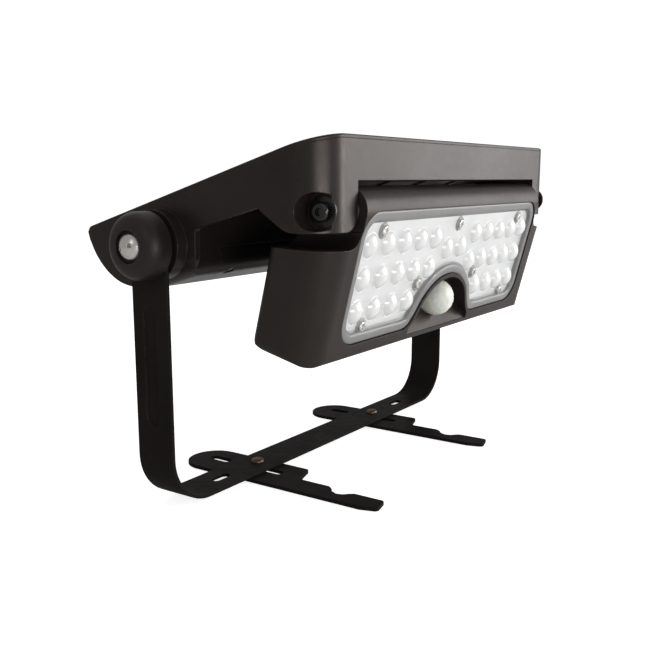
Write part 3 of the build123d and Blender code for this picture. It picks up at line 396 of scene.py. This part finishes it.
paint(["pivot_bolts", "lens_screws"],
      metal("bolt_stainless", dark=(0.70, 0.68, 0.65), light=(0.84, 0.82, 0.79),
            rough=(0.24, 0.38), edge_col=(0.9, 0.9, 0.9), grain=2600.0))
paint(["cover_screws", "head_cover_screws"],
      metal("screw_steel", dark=(0.26, 0.255, 0.25), light=(0.38, 0.375, 0.37),
            rough=(0.26, 0.40), edge_col=(0.55, 0.54, 0.53)))
# painted shade: the hinge screws and washers are coloured near-black to stand in for the shade
# inside the ear's hinge recess
paint(["hinge_screws", "hinge_washers"],
      metal("screw_dark_painted_shade", dark=(0.045, 0.043, 0.042), light=(0.07, 0.067, 0.065),
            rough=(0.2, 0.32), edge_col=(0.16, 0.155, 0.15)))
paint(["pivot_inserts"],
      metal("insert_brass", dark=(0.55, 0.37, 0.14), light=(0.66, 0.46, 0.20),
            rough=(0.22, 0.36), edge_col=(0.8, 0.62, 0.32)))
paint(["cover_gasket", "head_seal", "lens_gasket"],
      moulded("seal_rubber", dark=(0.010, 0.010, 0.010), light=(0.018, 0.018, 0.018),
              rough=(0.62, 0.78), grain=1200.0, spec=0.3, strength=0.5))
paint(["power_button"],
      moulded("button_rubber", dark=(0.020, 0.019, 0.020), light=(0.034, 0.032, 0.033),
              rough=(0.5, 0.62), grain=1600.0, spec=0.35, edge_col=(0.09, 0.085, 0.085),
              edge_amt=0.5))
paint(["battery_cells"],
      moulded("cell_wrap", dark=(0.05, 0.17, 0.36), light=(0.07, 0.22, 0.44),
              rough=(0.22, 0.34), grain=900.0, coat=0.4))
paint(["board_components", "sensor_components", "tact_switch"],
      moulded("chip_plastic", dark=(0.014, 0.014, 0.015), light=(0.024, 0.024, 0.025),
              rough=(0.35, 0.5), grain=3000.0))
paint(["panel_leads"],
      moulded("wire_sleeve", dark=(0.35, 0.018, 0.014), light=(0.42, 0.028, 0.02),
              rough=(0.34, 0.46), grain=1200.0))
paint(["heat_spreader"],
      metal("spreader_alloy", dark=(0.60, 0.61, 0.62), light=(0.72, 0.73, 0.74),
            rough=(0.28, 0.42), brushed=(72.0, 2400.0, 2400.0)))
paint(["control_board", "sensor_board"],
      circuit_board("board_mask", dark=(0.012, 0.085, 0.035), light=(0.018, 0.11, 0.05),
                    track=(0.03, 0.16, 0.07)))
paint(["led_board"],
      circuit_board("led_board_mask", dark=(0.86, 0.86, 0.85), light=(0.90, 0.90, 0.89),
                    track=(0.76, 0.76, 0.76)))
paint(["solar_cells"], solar_silicon())
paint(["panel_backsheet"],
      moulded("laminate_sheet", dark=(0.030, 0.032, 0.040), light=(0.040, 0.043, 0.052),
              rough=(0.4, 0.55), grain=1400.0))
paint(["panel_tape"],
      moulded("foam_tape", dark=(0.012, 0.012, 0.012), light=(0.022, 0.022, 0.022),
              rough=(0.75, 0.9), grain=1000.0, spec=0.2, strength=0.8))
paint(["panel_glass"], cover_glass())
LENS_EDGE = frosted("lens_frosted_border", colour=(0.235, 0.232, 0.228), rough=0.46,
                    haze=0.30, clear=0.16)
LENS_SHEET = frosted("lens_clear_sheet", colour=(0.83, 0.835, 0.825), rough=0.20,
                     haze=0.10, clear=0.34)
paint(["lens_plate"], LENS_SHEET)
DOMES = dome_plastic()
CUPS = cup_reflector()
paint(["led_chips"], phosphor())
SENSOR = sensor_milk()
paint(["pir_dome"], SENSOR)
paint(["pir_sensor"],
      metal("sensor_can", dark=(0.62, 0.60, 0.56), light=(0.72, 0.70, 0.66),
            rough=(0.25, 0.35)))


# ---------------------------------------------------------------- mesh helpers
def head_piece(name, mesh, material, sharp_angle):
    """Turn the bmesh into a smooth-shaded object that rides on the lamp head."""
    bmesh.ops.recalc_face_normals(mesh, faces=mesh.faces)
    data = bpy.data.meshes.new(name)
    mesh.to_mesh(data)
    mesh.free()
    data.shade_smooth()
    data.set_sharp_from_angle(angle=math.radians(sharp_angle))
    piece = bpy.data.objects.new(name, data)
    bpy.context.scene.collection.objects.link(piece)
    data.materials.append(material)
    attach(piece, "head")
    return piece


def skin(mesh, rings, closed=False):
    """Join each ring to the next, and the last to the first if closed; poles have one vertex."""
    following = rings[1:] + rings[:1] if closed else rings[1:]
    for ring, after in zip(rings, following):
        count = max(len(ring), len(after))
        for k in range(count):
            j = (k + 1) % count
            if len(ring) == 1:
                mesh.faces.new((ring[0], after[k], after[j]))
            elif len(after) == 1:
                mesh.faces.new((ring[k], ring[j], after[0]))
            else:
                mesh.faces.new((ring[k], ring[j], after[j], after[k]))


def circle(mesh, x, y, z, radius, sides):
    """A ring of vertices around the lamp's y axis, or one vertex where the radius is nil."""
    if radius < 1e-6:
        return [mesh.verts.new(lamp_point(x, y, z))]
    angles = [2 * math.pi * k / sides for k in range(sides)]
    return [mesh.verts.new(lamp_point(x + radius * math.cos(angle), y,
                                      z + radius * math.sin(angle))) for angle in angles]


def turned(name, places, base_y, profile, sides, material, sharp_angle, closed=True):
    """One turned shape at each (x, z); profile is (radius, height forward of base_y)."""
    mesh = bmesh.new()
    for x, z in places:
        skin(mesh, [circle(mesh, x, base_y - height, z, radius, sides)
                    for radius, height in profile], closed)
    return head_piece(name, mesh, material, sharp_angle)


# ---------------------------------------------------------------- lens outline
# window in lamp coordinates, mm
WINDOW_HALF, WINDOW_TOP, WINDOW_BOTTOM, CORNER = 110.5, 2.3, -67.5, 14.0
# arch in the lower edge, left to right: (x, z)
ARCH = [(-46.5, WINDOW_BOTTOM), (-39.5, -65.8), (-33.6, -59.4), (-27.6, -50.2),
        (-15.5, -41.7), (0, -38.6), (15.5, -41.7), (27.6, -50.2), (33.6, -59.4),
        (39.5, -65.8), (46.5, WINDOW_BOTTOM)]


def catmull(points, steps):
    """Smooth curve through the points; the missing end neighbours are mirrored in x."""
    curve = []
    for i in range(len(points) - 1):
        p1, p2 = points[i], points[i + 1]
        p0 = points[i - 1] if i else (2 * p1[0] - p2[0], p1[1])
        p3 = points[i + 2] if i + 2 < len(points) else (2 * p2[0] - p1[0], p2[1])
        for k in range(steps):
            t = k / steps
            curve.append(tuple(
                0.5 * (2 * b + (c - a) * t + (2 * a - 5 * b + 4 * c - d) * t * t
                       + (3 * b - a - 3 * c + d) * t ** 3)
                for a, b, c, d in zip(p0, p1, p2, p3)))
    curve.append(points[-1])
    return curve


def corner(x, z, start):
    """Quarter circle around (x, z), anticlockwise from the start angle in degrees."""
    angles = [math.radians(start + 90 * k / 10) for k in range(11)]
    return [(x + CORNER * math.cos(angle), z + CORNER * math.sin(angle)) for angle in angles]


def straight(start, end, z, parts):
    """The points between start and end, both left out."""
    return [(start + (i / parts) * (end - start), z) for i in range(1, parts)]


def window_outline():
    """Anticlockwise as seen with x to the right and z up, from the lower left corner."""
    side = WINDOW_HALF - CORNER
    low, high = WINDOW_BOTTOM + CORNER, WINDOW_TOP - CORNER
    return (corner(-side, low, 180) + straight(-side, ARCH[0][0], WINDOW_BOTTOM, 5)
            + catmull(ARCH, 6) + straight(ARCH[-1][0], side, WINDOW_BOTTOM, 5)
            + corner(side, low, 270) + corner(side, high, 0)
            + straight(side, -side, WINDOW_TOP, 12) + corner(-side, high, 90))


OUTLINE = window_outline()


def inset_ring(mesh, inset, y):
    """Vertices at depth y along the outline moved inwards, which is to its left."""
    ring = []
    for i, (x, z) in enumerate(OUTLINE):
        before, after = OUTLINE[i - 1], OUTLINE[(i + 1) % len(OUTLINE)]
        dx, dz = after[0] - before[0], after[1] - before[1]
        length = math.hypot(dx, dz)
        ring.append(mesh.verts.new(lamp_point(x - inset * dz / length, y,
                                              z + inset * dx / length)))
    return ring


# ---------------------------------------------------------------- lens plate
BORDER_FRONT, SHEET_FRONT, LENS_REAR = -10.9, -8.6, -7.0
# rounded frame with a soft step down to the clear sheet: (inset, y)
BORDER_PROFILE = [
    (0.25, LENS_REAR), (0.25, BORDER_FRONT + 0.9), (0.42, BORDER_FRONT + 0.38),
    (0.85, BORDER_FRONT + 0.08), (1.5, BORDER_FRONT), (3.9, BORDER_FRONT + 0.06),
    (4.7, BORDER_FRONT + 0.28), (5.3, BORDER_FRONT + 0.85), (5.6, BORDER_FRONT + 1.55),
    (6.0, SHEET_FRONT - 0.18), (6.6, SHEET_FRONT - 0.02), (6.6, LENS_REAR)]
SHEET_INSET = 6.55


def lens_border():
    mesh = bmesh.new()
    skin(mesh, [inset_ring(mesh, inset, y) for inset, y in BORDER_PROFILE], closed=True)
    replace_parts(head_piece("lens_border", mesh, LENS_EDGE, sharp_angle=50.0), "lens_plate")


def lens_sheet():
    """Clear sheet inside the border."""
    mesh = bmesh.new()
    rings = [inset_ring(mesh, SHEET_INSET, y) for y in (SHEET_FRONT, LENS_REAR)]
    skin(mesh, rings)
    for ring in rings:
        edges = [mesh.edges.get((ring[k - 1], ring[k])) for k in range(1, len(ring))]
        edges.append(mesh.edges.get((ring[-1], ring[0])))
        bmesh.ops.triangle_fill(mesh, edges=edges, use_beauty=True, use_dissolve=False)
    head_piece("lens_sheet", mesh, LENS_SHEET, sharp_angle=30.0)


lens_border()
lens_sheet()

# ---------------------------------------------------------------- LED optics
LED_PITCH = 17.55
LED_ROWS = ((-15.9, 0), (-33.4, 0), (-50.9, 1))  # (z, first column); the lowest skips one
LEDS = []
for row_z, first in LED_ROWS:
    for column in range(first, 5):
        led_x = (1.5 + column) * LED_PITCH
        LEDS += [(led_x, row_z), (-led_x, row_z)]
LEDS += [(LED_PITCH / 2, -23.3), (-LED_PITCH / 2, -23.3)]

# domes: a flat foot, a small lip and a spherical cap
CAP_RADIUS, CAP_HEIGHT = 6.5, 3.4
SPHERE = (CAP_RADIUS * CAP_RADIUS + CAP_HEIGHT * CAP_HEIGHT) / (2 * CAP_HEIGHT)
CAP_ANGLE = math.asin(CAP_RADIUS / SPHERE)
CAP_INSET, CAP_LIFT = 0.05, 0.14
dome_profile = [(0.0, -0.05), (7.1, -0.05), (7.1, 0.12), (6.95, 0.22), (6.7, 0.2)]
for k in range(13):
    angle = CAP_ANGLE * (1 - k / 12)
    dome_profile.append((max(SPHERE * math.sin(angle) - CAP_INSET, 0.0),
                         SPHERE * math.cos(angle) - (SPHERE - CAP_HEIGHT) + CAP_LIFT))
turned("lens_domes", LEDS, SHEET_FRONT, dome_profile, sides=36, material=DOMES,
       sharp_angle=40.0, closed=False)

# bright collimator cup behind each dome: (radius, height)
CUP_BASE = -3.95
CUP_PROFILE = [(2.3, 0.1), (2.3, 0.35), (3.1, 1.2), (4.1, 2.1), (5.2, 2.7), (5.75, 2.75),
               (5.75, 2.45), (5.2, 2.35), (4.3, 1.8), (3.4, 0.9), (2.9, 0.1)]
turned("reflector_cups", LEDS, CUP_BASE, CUP_PROFILE, sides=28, material=CUPS,
       sharp_angle=50.0)

# raised ring around each lens screw: places (x, z), profile (radius, height)
SCREWS = [(-86.5, -8.6), (86.5, -8.6), (0.0, -8.9), (-36.0, -41.6), (36.0, -41.6),
          (-88.0, -59.2), (88.0, -59.2)]
RING_PROFILE = [(2.75, 0.0), (2.75, 0.75), (2.95, 1.0), (3.35, 1.08), (3.75, 0.95),
                (3.95, 0.6), (4.15, 0.25), (4.5, 0.06), (4.5, 0.0)]
RING_SINK = 0.05
SCREW_RING = frosted("lens_screw_ring", colour=(0.34, 0.335, 0.33), rough=0.25, haze=0.1,
                     clear=0.25)
turned("lens_screw_rings", SCREWS, SHEET_FRONT + RING_SINK, RING_PROFILE, sides=32,
       material=SCREW_RING, sharp_angle=50.0)

# ---------------------------------------------------------------- motion-sensor window
PIR_Y, PIR_Z, PIR_RADIUS, PIR_WALL = -5.5, -55.0, 10.8, 0.9
PIR_SIDES, PIR_ROWS, PIR_INNER_ROWS = 72, 26, 10
FACETS = 46
GROOVE_DEPTH, GROOVE_SHARPNESS, GROOVE_FADE_ROWS = 0.22, 9.0, 3.0
# (radius, distance behind the dome's centre)
PIR_SKIRT = [(PIR_RADIUS, 3.0), (PIR_RADIUS, 6.6), (PIR_RADIUS + 1.5, 6.7),
             (PIR_RADIUS + 1.5, 7.6), (PIR_RADIUS - PIR_WALL, 7.6)]


def facet_centres():
    """Directions spread evenly over a half sphere by the golden angle."""
    centres = []
    for i in range(FACETS):
        height = (i + 0.5) / FACETS
        radius = math.sqrt(max(0.0, 1 - height * height))
        angle = i * math.pi * (3 - math.sqrt(5))
        centres.append(Vector((radius * math.cos(angle), radius * math.sin(angle), height)))
    return centres


def sensor_window():
    """Half dome grooved between its facets, then a flanged skirt and a smooth inner wall."""
    centres = facet_centres()
    mesh = bmesh.new()
    rings = []
    for i in range(PIR_ROWS + 1):
        polar = (math.pi / 2) * i / PIR_ROWS
        ring = []
        for k in range(PIR_SIDES if i else 1):
            turn = 2 * math.pi * k / PIR_SIDES
            out = Vector((math.sin(polar) * math.cos(turn), math.sin(polar) * math.sin(turn),
                          math.cos(polar)))
            nearest, second = sorted(1 - out.dot(centre) for centre in centres)[:2]
            gap = min(1.0, (math.sqrt(second) - math.sqrt(nearest)) * GROOVE_SHARPNESS)
            fade = min(1.0, (PIR_ROWS - i) / GROOVE_FADE_ROWS)
            radius = PIR_RADIUS - GROOVE_DEPTH * (1 - gap) * fade
            ring.append(mesh.verts.new(lamp_point(
                out.x * radius, PIR_Y - out.z * radius, PIR_Z + out.y * radius)))
        rings.append(ring)
    for radius, behind in PIR_SKIRT:
        rings.append(circle(mesh, 0.0, PIR_Y + behind, PIR_Z, radius, PIR_SIDES))
    inner = PIR_RADIUS - PIR_WALL
    for i in range(PIR_INNER_ROWS, -1, -1):
        polar = (math.pi / 2) * i / PIR_INNER_ROWS
        rings.append(circle(mesh, 0.0, PIR_Y - inner * math.cos(polar), PIR_Z,
                            inner * math.sin(polar), PIR_SIDES))
    skin(mesh, rings)
    window = head_piece("sensor_window", mesh, SENSOR, sharp_angle=60.0)
    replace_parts(window, "pir_dome")


sensor_window()


# ---------------------------------------------------------------- floor, light, camera
def add_floor():
    clearance = 0.0002
    mesh = bmesh.new()
    bmesh.ops.create_grid(mesh, x_segments=8, y_segments=8, size=6.0)
    data = bpy.data.meshes.new("floor")
    mesh.to_mesh(data)
    mesh.free()
    floor = bpy.data.objects.new("floor", data)
    floor.location = (0, 0, float(CAD_BOX[0][2]) - clearance)
    bpy.context.scene.collection.objects.link(floor)
    data.materials.append(floor_paper())


def add_world():
    """White surroundings, brighter to the camera than to the scene."""
    scene_strength, camera_strength = 0.34, 1.05
    world = bpy.data.worlds.new("studio")
    bpy.context.scene.world = world
    world.use_nodes = True
    nodes, links = world.node_tree.nodes, world.node_tree.links
    nodes.clear()
    output = nodes.new("ShaderNodeOutputWorld")
    rays = nodes.new("ShaderNodeLightPath")
    mixer = nodes.new("ShaderNodeMixShader")
    links.new(rays.outputs["Is Camera Ray"], mixer.inputs[0])
    for socket, strength in ((1, scene_strength), (2, camera_strength)):
        background = nodes.new("ShaderNodeBackground")
        background.inputs["Color"].default_value = (1.0, 1.0, 1.0, 1.0)
        background.inputs["Strength"].default_value = strength
        links.new(background.outputs[0], mixer.inputs[socket])
    links.new(mixer.outputs[0], output.inputs["Surface"])


AIM = (0.0, -0.06, 0.12)
# name, location, target, width, height, power in watts
LIGHTS = [
    ("key_front", (0.60, -1.60, 0.75), AIM, 0.9, 0.9, 2.4),
    ("strip_front", (0.78, -1.20, 0.30), (-0.13, -0.09, 0.15), 0.16, 0.85, 7.5),
    ("soft_right", (1.20, -0.88, 0.42), (0.02, -0.09, 0.16), 0.75, 0.80, 6.8),
    ("fill_left", (-1.6, -0.25, 0.9), AIM, 0.5, 0.9, 1.5),
    ("top_soft", (0.1, 0.3, 1.5), AIM, 1.4, 0.9, 1.6),
    ("kick_low", (-0.50, -1.00, 0.09), (0.0, -0.11, 0.12), 0.56, 0.24, 3.6),
    ("rear_rim", (0.7, 1.4, 1.1), AIM, 1.0, 0.7, 1.5),
]


def add_light(name, location, target, width, height, power):
    data = bpy.data.lights.new(name, "AREA")
    data.shape = "RECTANGLE"
    data.size, data.size_y = width, height
    data.energy = power
    light = bpy.data.objects.new(name, data)
    light.location = location
    direction = Vector(target) - Vector(location)
    light.rotation_euler = direction.to_track_quat("-Z", "Y").to_euler()
    bpy.context.scene.collection.objects.link(light)
    light.visible_camera = False


def add_camera():
    azimuth, elevation, roll = -0.97144, 0.18474, -0.00138  # radians
    back = Vector((math.sin(azimuth) * math.cos(elevation),
                   -math.cos(azimuth) * math.cos(elevation), math.sin(elevation)))
    level = Vector((math.cos(azimuth), math.sin(azimuth), 0.0))
    upright = back.cross(level)
    right = math.cos(roll) * level + math.sin(roll) * upright
    up = -math.sin(roll) * level + math.cos(roll) * upright
    data = bpy.data.cameras.new("camera")
    data.sensor_width = 36.0
    data.lens = 47.152357
    data.shift_x, data.shift_y = -0.0016461538, 0.019261538
    data.clip_start, data.clip_end = 0.01, 50.0
    camera = bpy.data.objects.new("camera", data)
    pose = Matrix((right, up, back)).transposed().to_4x4()
    pose.translation = Vector((-0.453615, -0.314933, 0.171586))
    camera.matrix_world = pose
    bpy.context.scene.collection.objects.link(camera)
    bpy.context.scene.camera = camera


add_floor()
add_world()
for light_row in LIGHTS:
    add_light(*light_row)
add_camera()
bpy.context.scene.view_settings.view_transform = "Standard"
bpy.context.scene.view_settings.look = "None"
